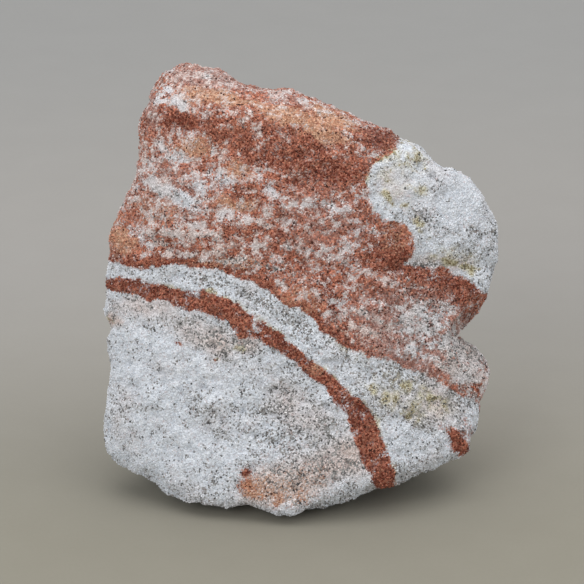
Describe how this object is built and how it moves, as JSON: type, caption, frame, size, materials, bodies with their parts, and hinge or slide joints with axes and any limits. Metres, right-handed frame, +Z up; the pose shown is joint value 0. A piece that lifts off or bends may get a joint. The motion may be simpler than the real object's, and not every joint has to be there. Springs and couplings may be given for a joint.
{
  "type": "sandstone specimen",
  "caption": "Hand-sized piece of banded sandstone that stands upright on a flat base, with a bowed front face and a broken back.",
  "frame": {"origin": "on the flat base, below the middle of the stone's outline", "axes": "+X to the right of the banded face, +Y into the stone towards its back, +Z up"},
  "size_m": [0.0877, 0.056, 0.0918],
  "materials": {
    "sandstone": "rough broken grain, white with rust-red bands"
  },
  "bodies": {
    "root": {"stone": "sandstone"}
  },
  "joints": []
}
